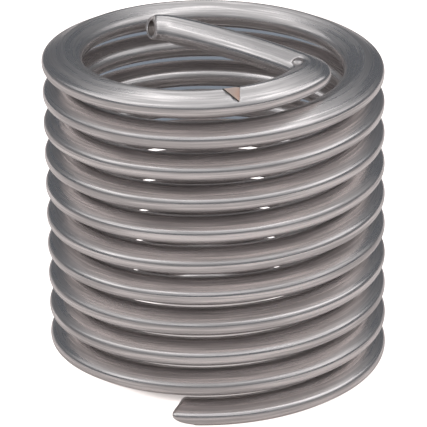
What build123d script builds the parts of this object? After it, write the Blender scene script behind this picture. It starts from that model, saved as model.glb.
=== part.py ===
from build123d import *
from build123d.topology import SkipClean
import os
from math import cos, pi, radians, sin, tan

os.makedirs("parts", exist_ok=True)

# A helical insert for an M8 x 1 thread, 1.5 diameters (12 mm) long, in its free state: rhombic
# wire wound right-handed, with a driving tang bent across the bore at its upper end.
thread_pitch = 1.0  # the thread the wire is rolled for
flank_angle = 60.0  # the included angle of both thread forms
free_d = 10.0  # across the outer crests, before it is wound down into its hole
coil_pitch = 0.9555  # from one free coil to the next

# The wire's section, tied to the thread it carries
crest_out = thread_pitch / 8  # flat that seats in the tapped hole
crest_in = thread_pitch / 4  # flat of the new, smaller thread
wire_depth = 1.19 * thread_pitch  # from crest to crest
wire_height = 0.8 * thread_pitch  # along the axis, over the blunted side corners
flank_slope = tan(radians(flank_angle / 2))
outer_r = free_d / 2
bore_r = outer_r - wire_depth
wire_r = outer_r - wire_depth / 2

# The winding, from the cut end at the foot to the tip of the tang
foot_angle = -105.0
true_quarters = 38  # quarter turns whose crests are true cylinders
last_turn = 187.0  # wound on at the same radius, past the end of the true bore
closing_r, closing_turn = 3.39, 63.3  # where the coil closes in ahead of the bend
bend_r, bend_turn = 0.70, 79.0
tang_r, tang_turn = 18.0, 14.6  # the tang isn't quite straight
tip_r, tip_turn = 1.0, 46.0  # and its tip hooks further round

# The notch that the tang breaks off at, the hollow in the tang's sheared tip, and the deburred foot
notch_turn = 20.4  # degrees of closing in before the notch's steep wall
notch_skew = -22.0  # how far that wall is turned from square to the wire
notch_ramp = 31.0
hollow_r, hollow_depth = 0.3, 0.15
foot_bevel = 0.08

foot_z = wire_height / 2  # the wire's centre at the cut end
climb_slope = coil_pitch / (2 * pi * wire_r)  # of the wire along its own path


def climb(r, turn):
    """The height gained by wire wound through some degrees at a radius."""
    return climb_slope * r * radians(turn)


def wound(section, r, turn):
    """Wire wound through some degrees at a radius about +Z, starting over +X at a height of zero."""
    with BuildPart(mode=Mode.PRIVATE) as stretch:
        with BuildSketch(Plane.XZ):
            with Locations((r, 0)):
                add(section)
        with BuildLine():
            Helix(pitch=climb(r, 360), height=climb(r, turn), radius=r)
        sweep(binormal=Edge.make_line((0, 0, 0), (0, 0, climb(r, turn))))
    return stretch.part


# The rolled section about its own middle, first with sharp crests, then cut to the flats.
tip_out = wire_depth / 2 + crest_out / 2 / flank_slope
tip_in = wire_depth / 2 + crest_in / 2 / flank_slope
corner = wire_height / 2 / flank_slope
with BuildSketch(mode=Mode.PRIVATE) as sharp_section:
    with BuildLine():
        upper = Polyline(
            (-tip_in, 0), (corner - tip_in, wire_height / 2), (tip_out - corner, wire_height / 2), (tip_out, 0)
        )
        mirror(upper, about=Plane.XZ)
    make_face()
with BuildSketch(mode=Mode.PRIVATE) as wire_section:
    add(sharp_section.sketch)
    Rectangle(wire_depth, wire_height, mode=Mode.INTERSECT)

# A quarter turn of the coil, its crests trued to the tapped hole outside and to the bore inside.
with BuildPart() as quarter_turn:
    add(wound(sharp_section.sketch, wire_r, 90))
    with BuildSketch(Plane.XY.offset(-wire_height / 2).rotated((0, 0, -135))):
        Circle(outer_r)
        Circle(bore_r, mode=Mode.SUBTRACT)
    extrude(amount=wire_height + climb(wire_r, 90), mode=Mode.INTERSECT)

# The first quarter turn starts at the cut end, which is deburred.
with BuildPart() as foot_quarter:
    add(quarter_turn.part)
    cut_end = foot_quarter.faces().sort_by_distance((wire_r, 0, 0))[0]
    chamfer(cut_end.edges(), length=foot_bevel)

with BuildPart() as wire_coil, SkipClean():
    foot = Pos(0, 0, foot_z) * Rot(0, 0, foot_angle)
    quarters = [foot * Pos(0, 0, climb(wire_r, 90 * i)) * Rot(0, 0, 90 * i) for i in range(true_quarters)]
    with Locations(foot):
        add(foot_quarter.part)
    with Locations(quarters[1:]):
        add(quarter_turn.part)

    # The rest of the wire follows on from stretch to stretch, each turning about its own centre.
    stretches = {
        "last": (wire_r, last_turn),
        "closing": (closing_r, closing_turn),
        "bend": (bend_r, bend_turn),
        "tang": (tang_r, tang_turn),
        "tip": (tip_r, tip_turn),
    }
    centres = {}
    wire_end = quarters[-1] * Rot(0, 0, 90) * Pos(wire_r, 0, climb(wire_r, 90))
    for name, (r, turn) in stretches.items():
        centres[name] = wire_end * Pos(-r, 0, 0)
        with Locations(centres[name]):
            add(wound(wire_section.sketch, r, turn))
        wire_end = centres[name] * Rot(0, 0, turn) * Pos(r, 0, climb(r, turn))

    # The notch starts in the outer crest: a steep wall towards the tang, and a ramp rising out of
    # the upper flank on the other side.
    notch_root = centres["closing"] * Rot(0, 0, notch_turn) * Pos(closing_r, 0, climb(closing_r, notch_turn))
    notch_root *= Pos(wire_depth / 2, 0, crest_out / 2) * Rot(0, 0, notch_skew)
    with BuildSketch(Plane(notch_root * Plane.YZ.location)):
        with BuildLine():
            Polyline((0, 0), (0, wire_height), (-wire_height / tan(radians(notch_ramp)), wire_height), close=True)
        make_face()
    extrude(amount=2 * wire_depth, both=True, mode=Mode.SUBTRACT)

    # Cutting the tang off leaves its end face hollow.
    with Locations(wire_end * Pos(0, hollow_r - hollow_depth, 0)):
        Sphere(hollow_r, mode=Mode.SUBTRACT)

wire_coil.part.label = "wire_coil"
export_step(wire_coil.part, "parts/wire_coil.step")
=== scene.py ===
# %% [markdown]
# # A helical thread insert
# This is a coil of hard stainless wire that lines a tapped hole, so that a screw can be driven in
# and out without wearing a soft housing. The wire is rolled to a rhombus before it is wound. Its
# outer edge seats in the tapped hole and its inner edge is the new thread. A tang bent across the
# bore lets a tool drive the coil in, and is then snapped off at a notch.
#
# The coil is one piece of wire, so it is made here as one surface: a section carried along a path.

import math

import bpy
import numpy as np
from mathutils import Matrix, Vector


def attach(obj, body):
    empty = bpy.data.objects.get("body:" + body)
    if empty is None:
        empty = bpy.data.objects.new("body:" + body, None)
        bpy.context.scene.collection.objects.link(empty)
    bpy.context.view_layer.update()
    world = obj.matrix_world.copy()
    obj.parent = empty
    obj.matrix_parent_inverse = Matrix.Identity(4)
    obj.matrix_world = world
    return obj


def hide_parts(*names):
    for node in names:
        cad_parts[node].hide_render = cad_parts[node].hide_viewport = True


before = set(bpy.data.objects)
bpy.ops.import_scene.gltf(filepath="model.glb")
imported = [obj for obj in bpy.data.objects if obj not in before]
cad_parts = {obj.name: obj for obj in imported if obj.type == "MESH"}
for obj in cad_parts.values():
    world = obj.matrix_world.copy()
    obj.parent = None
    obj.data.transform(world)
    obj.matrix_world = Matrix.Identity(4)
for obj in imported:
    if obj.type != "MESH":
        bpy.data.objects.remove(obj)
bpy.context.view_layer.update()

# %% [markdown]
# Sizes of meshes are millimetres, as on a maker's drawing, and are turned to metres once, when a
# mesh is made. The lamps and the camera are set up in metres. The insert is for an M8 x 1 thread,
# and these are the sizes of the solid model.

# %% Sizes of the wire and of its winding
MM = 0.001
OUTER_R = 5.0  # to the outer crest, before the coil is wound down into its hole
WIRE_DEPTH = 1.19  # of the section, from crest to crest
WIRE_HALF_HEIGHT = 0.4
COIL_PITCH = 0.9555
WIRE_R = OUTER_R - WIRE_DEPTH / 2
FOOT_ANGLE = -105.0  # where the wire starts, in degrees from +X

# Each stretch of the wire is an arc: its radius, and how many degrees it turns.
STRETCHES = {
    "coil": (WIRE_R, 3607.0),
    "closing": (3.39, 63.3),
    "bend": (0.70, 79.0),
    "tang": (18.0, 14.6),
    "tip": (1.0, 46.0),
}
CLIMB = COIL_PITCH / (2 * math.pi * WIRE_R)  # how far the wire rises for each mm of its length
print("middle of the wire at radius", WIRE_R, "mm, rising", round(CLIMB, 4), "mm for each mm")

# %% [markdown]
# The rolled section is a rhombus whose points have been pressed round: a nose on the outside, a
# wider one on the inside, and rounded corners above and below, where the coils nearly touch. The
# tang is swaged a little rounder. A bevelled curve could carry one such section, but here it
# changes along the wire, so its points are worked out. Rolling never leaves a sharp edge, and each
# small radius catches the light as a thin bright line along the wire.


# %% The wire's section
def rounded_section(corners, radii, arc_steps, side_steps):
    """A closed outline of a polygon with rounded corners, going round clockwise.

    Each corner becomes an arc that is tangent to both sides: its centre lies on the corner's
    bisector at radius / sin(half the corner's angle), and it turns by 180 degrees less that angle.
    Points at equal shares of each straight side link the arcs.
    """
    corners, radii = np.asarray(corners, float), np.asarray(radii, float)
    to_last = np.roll(corners, 1, axis=0) - corners
    to_next = np.roll(corners, -1, axis=0) - corners
    to_last /= np.linalg.norm(to_last, axis=1, keepdims=True)
    to_next /= np.linalg.norm(to_next, axis=1, keepdims=True)
    half = np.arccos(np.clip((to_last * to_next).sum(1), -1, 1)) / 2
    bisector = to_last + to_next
    bisector /= np.linalg.norm(bisector, axis=1, keepdims=True)
    centres = corners + bisector * (radii / np.sin(half))[:, None]
    first = corners + to_last * (radii / np.tan(half))[:, None] - centres
    angle = (2 * half - np.pi)[:, None] * np.linspace(0, 1, arc_steps + 1)
    arcs = np.stack([first[:, :1] * np.cos(angle) - first[:, 1:] * np.sin(angle),
                     first[:, :1] * np.sin(angle) + first[:, 1:] * np.cos(angle)], axis=-1)
    arcs += centres[:, None]
    share = np.linspace(0, 1, side_steps + 1)[1:-1, None]
    ends = np.roll(arcs[:, 0], -1, axis=0)
    sides = arcs[:, -1][:, None] * (1 - share) + ends[:, None] * share
    return np.concatenate([arcs, sides], axis=1).reshape(-1, 2)


def rhombus(heights, radii):
    """The wire's six-cornered section, clockwise from its lower side corner."""
    deep = WIRE_DEPTH / 2
    across = np.array([0, -deep, -deep, 0, deep, deep])
    return rounded_section(np.stack([across, heights], axis=1), radii, arc_steps=5, side_steps=2)


# Heights and rounding radii in mm of six corners: the lower side, the lower and upper inside, the
# upper side or ridge, and the upper and lower outside. The underside comes broadest off the rolls.
RIDGE_Y = 0.40
NOSE_Y = 0.11  # where the upper flank ends, on the outside
rolled = rhombus([-0.53, -0.16, 0.175, RIDGE_Y, NOSE_Y, -0.15],
                 [0.58, 0.24, 0.27, 0.15, 0.17, 0.22])
swaged = rhombus([-0.52, -0.17, 0.19, 0.44, 0.13, -0.15],
                 [0.5, 0.26, 0.29, 0.32, 0.21, 0.21])
# The way round the section from its first point, in mm
girth = np.linalg.norm(np.diff(rolled, axis=0, append=rolled[:1]), axis=1)
girth = np.concatenate([[0], np.cumsum(girth)])
print("rolled section:", len(rolled), "points,", np.ptp(rolled, axis=0).round(3), "mm")
print("swaged tang:", np.ptp(swaged, axis=0).round(3), "mm")

# %% [markdown]
# A coiling machine feeds the wire against a finger that sets its radius, so the path is a chain of
# arcs, each with its own centre, that keep the same heading where they meet. The wire climbs at
# one steady slope all the way. A screw modifier makes an even helix only, and a curve drawn by
# hand is never quite round, so the path is a formula of the length along the wire.


# %% The wire's path
radii = np.array([r for r, _ in STRETCHES.values()])
turns = np.radians([t for _, t in STRETCHES.values()])
starts = np.concatenate([[0], np.cumsum(radii * turns)])  # lengths along the wire
start_angles = math.radians(FOOT_ANGLE) + np.concatenate([[0], np.cumsum(turns)[:-1]])
START = dict(zip([*STRETCHES, "end"], starts))


def path_at(length):
    """Heading angle, centre of turning, radius and height at each length along the wire.

    Inside a stretch the angle grows by length / radius. Its centre is the last one moved along the
    spoke of their common point by the difference of the two radii. The height is slope x length.
    """
    spokes = np.stack([np.cos(start_angles), np.sin(start_angles)], axis=1)
    steps = np.concatenate([[0], radii[:-1] - radii[1:]])
    centres = np.cumsum(steps[:, None] * spokes, axis=0)
    which = np.clip(np.searchsorted(starts, length, side="right") - 1, 0, len(radii) - 1)
    angle = start_angles[which] + (length - starts[which]) / radii[which]
    return angle, centres[which], radii[which], WIRE_HALF_HEIGHT + CLIMB * length


def wire_surface(length, section):
    """Points of the swept wire, from lengths and section points of the same shape, in mm.

    At each station the section stands upright in the plane through the centre of turning:
    point = centre + (radius + section's x) x spoke, at the path's height + section's y.
    """
    angle, centre, radius, height = path_at(length)
    out = radius + section[..., 0]
    x = centre[..., 0] + out * np.cos(angle)
    y = centre[..., 1] + out * np.sin(angle)
    return np.stack([x, y, height + section[..., 1]], axis=-1)


print("wire length:", round(START["end"], 1), "mm")

# %% [markdown]
# Stations are set along the wire: even steps round the coil, closer ones through the bend and the
# tang. Each end is finished with a few rings that roll the edge over and run in to the middle,
# as deburring does. This keeps one even grid from end to end, which a bevel modifier would not.


# %% Stations along the wire
def smooth(value, low, high):
    """0 below low, 1 above high, and 3t^2 - 2t^3 in between."""
    t = np.clip((value - low) / (high - low), 0, 1)
    return t * t * (3 - 2 * t)


STEPS = {"coil": 2000, "closing": 50, "bend": 36, "tang": 44, "tip": 20}  # in each stretch
# Each end ring: its distance from the end in mm, and its size as a share of the section
foot_rings = np.array([(0.0, 0.45), (0.0, 0.82), (0.012, 0.92), (0.045, 0.975), (0.10, 1.0)])
tip_rings = np.array([(0.06, 1.0), (0.025, 0.98), (0.006, 0.94), (0.0, 0.88), (0.0, 0.45)])
FOOT_GAP, TIP_GAP = 0.02, 0.01  # mm at least between an end's rings and the nearest station
SWAGE_FROM, SWAGE_TO = 0.2, 0.1  # mm past the start of the bend, and past that of the tang

stations = np.concatenate([np.linspace(a, b, steps)[:-1]
                           for a, b, steps in zip(starts[:-1], starts[1:], STEPS.values())])
stations = stations[(stations > foot_rings[:, 0].max() + FOOT_GAP)
                    & (stations < START["end"] - tip_rings[:, 0].max() - TIP_GAP)]
length = np.concatenate([foot_rings[:, 0], stations, START["end"] - tip_rings[:, 0]])
share = np.concatenate([foot_rings[:, 1], np.ones(len(stations)), tip_rings[:, 1]])

swaging = smooth(length, START["bend"] + SWAGE_FROM, START["tang"] + SWAGE_TO)[:, None, None]
section = (rolled * (1 - swaging) + swaged * swaging) * share[:, None, None]
print("stations:", len(length), "with", section.shape[1], "points each")

# %% [markdown]
# The two ends show how the wire was cut. The foot is ground: flat where it meets the floor, and
# domed, so that its face falls back above and below. The tang's end is cropped, which squeezes its
# underside up and leaves the cut slightly slanted. All of this only moves the grid's points.


# %% The ends of the wire
FOOT_LIFT = 0.004  # mm at least between the foot's flat and the floor
PINCH = 0.28  # share of the underside's depth that cropping takes
SLANT = 0.3  # mm that the cut runs back for each mm of height
PINCH_LENGTH, SLANT_LENGTH, DOME_LENGTH = 1.0, 0.6, 1.2  # mm of wire over which each fades out


def foot_dome(rise, peak=0.3, bulge=0.10):
    """How many mm the foot's end falls back at a height given as a share of the half height.

    It is least at the peak, where it stands proud by the bulge. Above, it grows by 0.36 x the
    distance from the peak, and below by 0.6 x that distance to the power 2.5, up to 0.5 mm.
    """
    above, below = np.clip(rise - peak, 0, None), np.clip(peak - rise, 0, None)
    return 0.36 * above + np.minimum(0.6 * below**2.5, 0.5) - bulge


floor_y = FOOT_LIFT - path_at(length)[3][:, None]
section[..., 1] = np.maximum(section[..., 1], floor_y)
pinch = PINCH * smooth(length, START["end"] - PINCH_LENGTH, START["end"])[:, None]
section[..., 1] = np.where(section[..., 1] < 0, section[..., 1] * (1 - pinch), section[..., 1])
near_tip = smooth(length, START["end"] - SLANT_LENGTH, START["end"])[:, None]
near_foot = 1 - smooth(length, 0, DOME_LENGTH)[:, None]
dome = foot_dome(section[..., 1] / WIRE_HALF_HEIGHT)
length = length[:, None] + dome * near_foot - SLANT * section[..., 1] * near_tip
surface = wire_surface(length, section)
print("surface grid:", surface.shape[:2])

# %% [markdown]
# A grid of points becomes a tube when its last column is joined to its first. A curve object with
# a bevel could make it too, but not a section that changes along the way. The mesh carries a UV
# map in millimetres, the wire laid flat, so that the marks of drawing can run along it.


# %% Turn the grid into a mesh
def new_object(name, points, faces, material=None):
    """An object at the origin with a mesh of points in mm, linked to the scene."""
    mesh = bpy.data.meshes.new(name)
    mesh.from_pydata((np.asarray(points) * MM).tolist(), [], faces)
    if material:
        mesh.materials.append(material)
    obj = bpy.data.objects.new(name, mesh)
    bpy.context.scene.collection.objects.link(obj)
    return obj


def tube(name, points, girth, length):
    """A tube from a grid of points: quads between neighbours, closed round the section.

    Each end is closed by a fan to its middle. Its UV map is the wire laid flat, in mm: the way
    round the section, from girth, and the length along the wire. The seam is underneath.
    """
    rows, cols = points.shape[:2]
    index = np.arange(rows * cols).reshape(rows, cols)
    a, b = index[:-1], index[1:]
    quads = np.stack([a, np.roll(a, -1, 1), np.roll(b, -1, 1), b], axis=-1).reshape(-1, 4)
    first, last = index[0], index[-1]
    fans = np.concatenate([
        np.stack([np.full(cols, rows * cols), np.roll(first, -1), first], axis=1),
        np.stack([np.full(cols, rows * cols + 1), last, np.roll(last, -1)], axis=1),
    ])
    middles = np.stack([points[0].mean(0), points[-1].mean(0)])
    near = np.broadcast_to(girth[:-1], (rows - 1, cols))
    far = np.broadcast_to(girth[1:], (rows - 1, cols))
    later = np.roll(length, -1, axis=1)
    flat = np.stack([np.stack([near, far, far, near], axis=-1),
                     np.stack([length[:-1], later[:-1], later[1:], length[1:]], axis=-1)], axis=-1)
    fan_flat = np.zeros((2, cols, 3, 2))
    fan_flat[0, :, :, 1], fan_flat[1, :, :, 1] = length[0, 0], length[-1, 0]
    fan_flat[..., 0] = girth[:-1, None]
    obj = new_object(name, np.concatenate([points.reshape(-1, 3), middles]),
                     quads.tolist() + fans.tolist())
    mesh = obj.data
    mesh.polygons.foreach_set("use_smooth", np.ones(len(mesh.polygons), bool))
    wire_mm = mesh.uv_layers.new(name="wire_mm")
    corners = np.concatenate([flat.ravel(), fan_flat.ravel()])
    wire_mm.uv.foreach_set("vector", corners.astype(np.float32))
    mesh.update()
    return obj


wire = tube("wire", surface, girth, length)
print("wire:", len(wire.data.polygons), "faces")

# %% [markdown]
# Each finish is a small tree of shader nodes. Colours are easiest to choose as sRGB hex values, as
# in a paint program, but a shader works with linear light, so one function converts them. A second
# adds a node with its settings and links, a third starts an empty material, and a fourth makes a
# whole one that looks the same all over.


# %% Colours and nodes
def linear(hex_colour):
    """sRGB hex to linear RGBA, by the sRGB curve."""
    c = [int(hex_colour[i : i + 2], 16) / 255 for i in (1, 3, 5)]
    return [v / 12.92 if v <= 0.04045 else ((v + 0.055) / 1.055) ** 2.4 for v in c] + [1.0]


def add_node(tree, kind, settings=None, values=None, links=None):
    """Adds a node, with its settings, its input values and what its inputs are linked from."""
    node = tree.nodes.new(kind)
    for key, value in (settings or {}).items():
        setattr(node, key, value)
    for key, value in (values or {}).items():
        node.inputs[key].default_value = value
    for key, socket in (links or {}).items():
        tree.links.new(socket, node.inputs[key])
    return node


def new_material(name):
    """An empty material and its node tree."""
    material = bpy.data.materials.new(name)
    material.use_nodes = True
    material.node_tree.nodes.clear()
    return material, material.node_tree


def even_material(name, hex_colour, roughness, metallic=0.0):
    """A material of one colour and one gloss."""
    material, tree = new_material(name)
    shader = add_node(tree, "ShaderNodeBsdfPrincipled",
                      values={"Base Color": linear(hex_colour), "Metallic": metallic,
                              "Roughness": roughness})
    add_node(tree, "ShaderNodeOutputMaterial", links={"Surface": shader.outputs["BSDF"]})
    return material


print("white paper, #F2EBE8, is", [round(v, 2) for v in linear("#F2EBE8")[:3]], "in linear light")

# %% [markdown]
# The wire is austenitic stainless steel, drawn cold through dies and then rolled to its section.
# To the eye that is a warm grey satin metal with fine lines along the wire, a little darker and
# rougher where the lubricant of the dies has stayed. A picture of brushed metal could be wrapped
# round it, but noise stretched along the wire's own UV map never repeats and follows each bend.

# %% Drawn stainless wire
# How many lines there are in each mm, across and along the wire. The fine ones are drawn coarser
# than real die lines, which are too fine to see from here.
FINE_PER_MM, BROAD_PER_MM = (14.0, 0.4, 1.0), (5.0, 0.2, 1.0)
LINE_DEPTH = 0.02 * MM  # of the fine lines, in the bump
LOW, HIGH = 0.9, 1.3  # between which 1.2 x fine + broad mostly lies

drawn_stainless, tree = new_material("drawn_stainless_wire")
flat_wire = add_node(tree, "ShaderNodeUVMap", {"uv_map": "wire_mm"})
patterns = []
for per_mm, sharpness in (FINE_PER_MM, 0.6), (BROAD_PER_MM, 0.5):
    stretched = add_node(tree, "ShaderNodeMapping", values={"Scale": per_mm},
                         links={"Vector": flat_wire.outputs["UV"]})
    noise = add_node(tree, "ShaderNodeTexNoise", {"noise_dimensions": "2D"},
                     {"Scale": 1.0, "Detail": 2.0, "Roughness": sharpness},
                     {"Vector": stretched.outputs["Vector"]})
    patterns.append(noise.outputs["Fac"])
fine, broad = patterns
lines = add_node(tree, "ShaderNodeMath", {"operation": "MULTIPLY_ADD"}, {1: 1.2},
                 {0: fine, 2: broad})
print("fine lines are about", round(1 / FINE_PER_MM[0], 2), "mm wide and",
      1 / FINE_PER_MM[1], "mm long")

# %% [markdown]
# The lines steer three things, as they do on the real wire: where the die has burnished it, it is
# brighter and smoother, and the fine lines also stand a little proud. Bare steel reflects more
# than half of the light, with a slight warm tint, and has no separate clear coat or sheen.

# %% Gloss and colour of the wire
rough = add_node(tree, "ShaderNodeMapRange",
                 values={"From Min": LOW, "From Max": HIGH, "To Min": 0.42, "To Max": 0.25},
                 links={"Value": lines.outputs["Value"]})
bump = add_node(tree, "ShaderNodeBump", values={"Strength": 0.15, "Distance": LINE_DEPTH},
                links={"Height": fine})
streaks = add_node(tree, "ShaderNodeMapRange",
                   values={"From Min": LOW, "From Max": HIGH, "To Min": 0.74, "To Max": 1.08},
                   links={"Value": lines.outputs["Value"]})
colour = add_node(tree, "ShaderNodeVectorMath", {"operation": "SCALE"},
                  {0: linear("#E8E3E2")[:3]}, {"Scale": streaks.outputs["Result"]})
steel = add_node(tree, "ShaderNodeBsdfPrincipled", values={"Metallic": 1.0},
                 links={"Base Color": colour.outputs["Vector"],
                        "Roughness": rough.outputs["Result"], "Normal": bump.outputs["Normal"]})
add_node(tree, "ShaderNodeOutputMaterial", links={"Surface": steel.outputs["BSDF"]})
wire.data.materials.append(drawn_stainless)
print("drawn wire:", len(tree.nodes), "nodes")

# %% [markdown]
# The notch is sheared by a punch after rolling, so its ramp is bare, dull and slightly warmer than
# the drawn skin. The scored line and the hollow tip get a darker steel, painted shade for the dark
# that falls in these narrow recesses. Both are plain metals.

# %% Sheared steel, and darker steel as painted shade
# Sheared steel is a dull, finely torn surface. The darker steel is painted shade, which darkens
# the metal without hiding it.
sheared = even_material("sheared_stainless", "#F4E2D8", roughness=0.7, metallic=1.0)
painted_shade_steel = even_material("painted_shade_stainless", "#A39A96", roughness=0.5, metallic=1.0)
print("materials:", drawn_stainless.name, sheared.name, painted_shade_steel.name)

# %% [markdown]
# The notch lets the tang break off once the insert is in place. The tip of the tang is hollow
# where it was cropped, and the bending tool leaves a dimple on the elbow. They could be modelled
# into the grid, but each is the mark of a tool, so a solid in the shape of that tool is subtracted
# from the wire with an exact boolean, which also brings the tool's own finish along.


# %% Shapes of the cutting tools
def frame_at(length, x, y):
    """The point at that length and place in the section, and the outward, forward and up axes."""
    point = wire_surface(np.array(length), np.array([x, y]))
    angle = float(path_at(np.array(length))[0])
    return (Vector(point), Vector((math.cos(angle), math.sin(angle), 0)),
            Vector((-math.sin(angle), math.cos(angle), 0)), Vector((0, 0, 1)))


def wedge(origin, outward, forward, up, skew, ramp, height, half_width):
    """A three-sided prism: a steep wall at the origin, and a ramp that rises backwards."""
    turn = Matrix.Rotation(math.radians(skew), 3, "Z")
    outward, forward = turn @ outward, turn @ forward
    back = height / math.tan(math.radians(ramp))
    profile = [Vector((0, 0)), Vector((0, height)), Vector((-back, height))]
    verts = [origin + outward * w + forward * p.x + up * p.y
             for w in (-half_width, half_width) for p in profile]
    faces = [(2, 1, 0), (3, 4, 5), (1, 4, 3, 0), (2, 5, 4, 1), (0, 3, 5, 2)]
    return [tuple(v) for v in verts], faces


def ellipsoid(origin, axes, half_sizes, steps=20):
    """A closed ellipsoid: origin + sum of axis x half size x the unit sphere's coordinates."""
    polar = np.linspace(0, np.pi, steps // 2 + 1)[1:-1, None]
    turn = np.linspace(0, 2 * np.pi, steps, endpoint=False)[None]
    unit = np.stack([np.sin(polar) * np.cos(turn), np.sin(polar) * np.sin(turn),
                     np.cos(polar) + 0 * turn], axis=-1).reshape(-1, 3)
    unit = np.concatenate([unit, [(0, 0, 1), (0, 0, -1)]])
    basis = np.array([np.array(a) * s for a, s in zip(axes, half_sizes)])
    verts = np.array(origin) + unit @ basis
    rows = steps // 2 - 1
    index = np.arange(rows * steps).reshape(rows, steps)
    a, b = index[:-1], index[1:]
    quads = np.stack([a, b, np.roll(b, -1, 1), np.roll(a, -1, 1)], axis=-1).reshape(-1, 4)
    top, bottom = len(unit) - 2, len(unit) - 1
    caps = np.concatenate([
        np.stack([np.full(steps, top), index[0], np.roll(index[0], -1)], axis=1),
        np.stack([np.full(steps, bottom), np.roll(index[-1], -1), index[-1]], axis=1),
    ])
    return verts.tolist(), quads.tolist() + caps.tolist()


print("the wire starts at", [round(v, 2) for v in frame_at(0.0, 0.0, 0.0)[0]], "mm")

# %% [markdown]
# The notch has a steep wall towards the tang and a ramp away from it, both turned a little from
# square to the wire. Where the ramp comes out through the upper flank, the punch's edge leaves a
# fine scored line. Its two ends are worked out from the flank's own slope, so it follows the edge.

# %% The notch and the line along its ramp
NOTCH_TURN = 20.4  # degrees of the closing stretch before the wall
NOTCH_Y = 0.165  # of its bottom edge, above the middle of the wire
NOTCH_SKEW, NOTCH_RAMP = -14.0, 25.5  # degrees
SCORE_DEPTH, SCORE_HEIGHT, SCORE_RAMP = 0.045, 0.09, 38.0  # the scored line's own small wedge

closing_r = STRETCHES["closing"][0]
notch_length = START["closing"] + closing_r * math.radians(NOTCH_TURN)
root, outward, forward, up = frame_at(notch_length, WIRE_DEPTH / 2, NOTCH_Y)
notch = wedge(root, outward, forward, up, NOTCH_SKEW, NOTCH_RAMP, height=0.8, half_width=2.4)

skewed = Matrix.Rotation(math.radians(NOTCH_SKEW), 3, "Z")
ends = []
for x in (0.0, 0.48):  # from the ridge to the foot of the wall, across the section
    flank_y = RIDGE_Y - x * (RIDGE_Y - NOSE_Y) / (WIRE_DEPTH / 2)
    climb = flank_y - NOTCH_Y
    back = climb / math.tan(math.radians(NOTCH_RAMP))
    ends.append(root + skewed @ outward * (x - WIRE_DEPTH / 2) - skewed @ forward * back
                + up * climb)
line = (ends[1] - ends[0]).normalized()
score = wedge((ends[0] + ends[1]) / 2 - up * SCORE_DEPTH, line, up.cross(line), up, 0.0,
              SCORE_RAMP, SCORE_HEIGHT, half_width=(ends[1] - ends[0]).length / 2)
print("notch at", round(notch_length, 2), "mm along the wire")

# %% [markdown]
# Cropping tears the middle of the wire out a little way, so the tang's end is a shallow cup. The
# finger that bends the elbow presses into its inner side. Both marks are smooth and round, so an
# ellipsoid makes each of them, and only the part of it that reaches into the wire counts.

# %% The hollow tip and the dimple
HOLLOW = (0.21, 0.36, 0.30)  # half sizes up, outwards and along the wire
DIMPLE = (0.17, 0.19, 0.11)  # half sizes outwards, along the wire and up
DIMPLE_PLACE = (0.72, -0.33, 0.30)  # mm past the start of the bend, outwards and up

tip, outward, forward, up = frame_at(START["end"], 0.0, 0.0)
hollow = ellipsoid(tip, (up, outward, forward), HOLLOW)
past, out, rise = DIMPLE_PLACE
elbow, outward, forward, up = frame_at(START["bend"] + past, out, rise)
dimple = ellipsoid(elbow, (outward, forward, up), DIMPLE)
print("hollow and dimple:", len(hollow[0]) + len(dimple[0]), "points")

# %% [markdown]
# Each tool is a mesh of its own for a moment. A boolean modifier takes its shape out of the wire
# and gives the fresh faces its material. The modifiers are then worked out into a plain mesh, so
# the wire is left as one closed surface, with nothing live on it and no tools in the scene.

# %% Take the tools' shapes out of the wire
# The scored line and the hollow tip take the darker steel: painted shade in their recesses.
tools = {"notch": (notch, sheared), "groove": (score, painted_shade_steel), "hollow": (hollow, painted_shade_steel),
         "dimple": (dimple, drawn_stainless)}
cutters = []
for name, ((points, faces), material) in tools.items():
    cutters.append(new_object(name, points, faces, material))
    cut = wire.modifiers.new(name, "BOOLEAN")
    cut.operation, cut.solver, cut.object = "DIFFERENCE", "EXACT", cutters[-1]
    cut.material_mode = "TRANSFER"
bpy.context.view_layer.update()
evaluated = wire.evaluated_get(bpy.context.evaluated_depsgraph_get())
cut_mesh = bpy.data.meshes.new_from_object(evaluated)
wire.modifiers.clear()
wire.data = cut_mesh
for cutter in cutters:
    bpy.data.objects.remove(cutter)
cut_mesh.calc_loop_triangles()
print("wire:", len(cut_mesh.loop_triangles), "triangles,", [m.name for m in cut_mesh.materials])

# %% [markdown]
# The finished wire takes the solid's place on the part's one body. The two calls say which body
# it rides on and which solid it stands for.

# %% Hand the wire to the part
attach(wire, "root")
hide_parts("wire_coil")
print("the wire rides on root and replaces wire_coil")

# %% [markdown]
# The insert stands on a white table that runs to the horizon. The camera sees the table lifted to
# plain white, except close to the wire, where the contact shadow stays. Bare metal shows what is
# around it, so the table's real brightness, which the metal sees, is kept much lower.

# %% The table
TABLE_HALF = 1000.0  # mm
TABLE_GLOW = 0.10  # on top of the light on the paint, for the metal and the camera alike
CAMERA_NEAR, CAMERA_GAIN = 0.4, 6.9  # more for the camera alone: NEAR + GAIN x the glow
SHADE_CENTRE_Y, SHADE_INNER, SHADE_OUTER = 0.9, 3.6, 4.2  # mm, where the table fades to white

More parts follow.
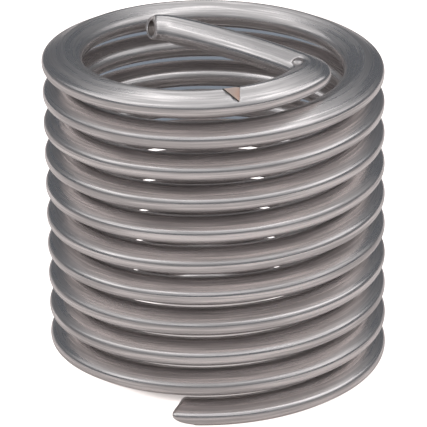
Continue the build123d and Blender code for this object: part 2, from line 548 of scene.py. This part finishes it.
white_table, tree = new_material("white_table")
ray = add_node(tree, "ShaderNodeLightPath")
place = add_node(tree, "ShaderNodeTexCoord")
shifted = add_node(tree, "ShaderNodeMapping", values={"Location": (0, -SHADE_CENTRE_Y * MM, 0)},
                   links={"Vector": place.outputs["Object"]})
distance = add_node(tree, "ShaderNodeVectorMath", {"operation": "LENGTH"},
                    links={0: shifted.outputs["Vector"]})
glow = add_node(tree, "ShaderNodeMapRange", {"interpolation_type": "SMOOTHSTEP"},
                {"From Min": SHADE_INNER * MM, "From Max": SHADE_OUTER * MM,
                 "To Max": TABLE_GLOW}, {"Value": distance.outputs["Value"]})
camera_lift = add_node(tree, "ShaderNodeMath", {"operation": "MULTIPLY_ADD"},
                       {1: CAMERA_GAIN, 2: CAMERA_NEAR}, {0: glow.outputs["Result"]})
strength = add_node(tree, "ShaderNodeMath", {"operation": "MULTIPLY_ADD"},
                    links={0: ray.outputs["Is Camera Ray"], 1: camera_lift.outputs["Value"],
                           2: glow.outputs["Result"]})
paint = add_node(tree, "ShaderNodeBsdfPrincipled",
                 values={"Base Color": linear("#F2EBE8"), "Roughness": 0.9,
                         "Emission Color": linear("#FFF7F4")},
                 links={"Emission Strength": strength.outputs["Value"]})
add_node(tree, "ShaderNodeOutputMaterial", links={"Surface": paint.outputs["BSDF"]})
corners = TABLE_HALF * np.array([(-1, -1, 0), (1, -1, 0), (1, 1, 0), (-1, 1, 0)])
floor = new_object("floor", corners, [(0, 1, 2, 3)], white_table)
print("table:", 2 * TABLE_HALF * MM, "m wide")

# %% [markdown]
# A grey card lies on the table behind the insert, where from the front none of it shows beside
# the coil. It is painted shade: it shows only through the gaps between the turns, as the cool grey
# of shaded table in a dim studio, where white table would glare.
# It is flat matt paper, so a plain ellipse of 64 points does.

# %% The grey card
CARD_HALF, CARD_CENTRE = (5.3, 5.9), (-0.3, 25.2)  # mm in x and y
CARD_LIFT = 0.05  # mm above the table

# The grey card is painted shade for the table behind the insert.
painted_shade_card = even_material("painted_shade_card", "#9AA2AD", roughness=0.9)
turn = np.linspace(0, 2 * np.pi, 64, endpoint=False)
rim = np.stack([CARD_HALF[0] * np.cos(turn) + CARD_CENTRE[0],
                CARD_HALF[1] * np.sin(turn) + CARD_CENTRE[1], CARD_LIFT + 0 * turn], axis=1)
card = new_object("card", rim, [tuple(range(len(rim)))], painted_shade_card)
print("card:", 2 * CARD_HALF[0], "x", 2 * CARD_HALF[1], "mm")

# %% [markdown]
# Small shiny parts are lit by large soft boxes, because the metal mirrors them: their size sets how
# broad a highlight is, and the dim room between them gives the dark lines. A row of them from left
# to right lights the ends of each coil as well as its middle.

# %% The room and the softboxes
world = bpy.data.worlds.new("studio")
bpy.context.scene.world = world
world.use_nodes = True
world.node_tree.nodes.clear()
ray = add_node(world.node_tree, "ShaderNodeLightPath")
room = add_node(world.node_tree, "ShaderNodeBackground",
                values={"Color": linear("#5A5E63"), "Strength": 1.0})
white = add_node(world.node_tree, "ShaderNodeBackground",
                 values={"Color": (1, 1, 1, 1), "Strength": 1.0})
seen = add_node(world.node_tree, "ShaderNodeMixShader",
                links={0: ray.outputs["Is Camera Ray"], 1: room.outputs[0], 2: white.outputs[0]})
add_node(world.node_tree, "ShaderNodeOutputWorld", links={"Surface": seen.outputs[0]})


def softbox(name, place, size, radiance, aim=(0, 0, 5 * MM)):
    """A square lamp that faces the insert; its power is radiance x pi x area."""
    lamp = bpy.data.lights.new(name, "AREA")
    lamp.shape, lamp.size, lamp.energy = "SQUARE", size, radiance * math.pi * size**2
    obj = bpy.data.objects.new(name, lamp)
    obj.location = place
    obj.rotation_euler = (obj.location - Vector(aim)).to_track_quat("Z", "Y").to_euler()
    bpy.context.scene.collection.objects.link(obj)


# Place and size in metres, and radiance
SOFTBOXES = {
    "overhead": ((0, 0.02, 0.30), 0.26, 0.51),
    "high back": ((0, 0.17, 0.27), 0.15, 0.8),
    "left": ((-0.20, 0.03, 0.26), 0.26, 0.95),
    "right": ((0.20, 0.03, 0.26), 0.26, 0.95),
    "front": ((0, -0.20, 0.28), 0.30, 0.5),
    "front left": ((-0.22, -0.17, 0.22), 0.20, 0.45),
    "front right": ((0.22, -0.17, 0.22), 0.20, 0.45),
}
for name, (place, size, radiance) in SOFTBOXES.items():
    softbox(name, place, size, radiance)
print("lamps:", len(SOFTBOXES))

# %% [markdown]
# The camera stands twelve coil widths away with a long lens, so the sides of the coil look nearly
# parallel. It looks down from a little over 20 degrees and leans by one degree. Its axes are
# worked out from those angles and written into its matrix, which avoids the order of Euler turns.

# %% Camera
LENS, SENSOR = 341.7, 36.0  # mm
ELEVATION, ROLL = 22.7229, -1.0774  # degrees
DISTANCE = 0.12  # metres from the point that it looks at
AIM = np.array([-0.0000709, 0, 0.0047827])  # that point, in metres

camera = bpy.data.cameras.new("camera")
camera.lens, camera.sensor_width = LENS, SENSOR
camera.clip_start, camera.clip_end = 0.001, 10.0
camera_object = bpy.data.objects.new("camera", camera)
bpy.context.scene.collection.objects.link(camera_object)
elevation, roll = math.radians(ELEVATION), math.radians(ROLL)
forward = np.array([0, math.cos(elevation), -math.sin(elevation)])
level = np.array([1.0, 0, 0])
upright = np.array([0, math.sin(elevation), math.cos(elevation)])
matrix = np.eye(4)
matrix[:3, 0] = math.cos(roll) * level + math.sin(roll) * upright
matrix[:3, 1] = math.cos(roll) * upright - math.sin(roll) * level
matrix[:3, 2] = -forward
matrix[:3, 3] = AIM - DISTANCE * forward
camera_object.matrix_world = Matrix(matrix.tolist())
bpy.context.scene.camera = camera_object
bpy.context.scene.view_settings.view_transform = "Standard"
print("camera at", [round(1000 * v, 1) for v in matrix[:3, 3]], "mm")
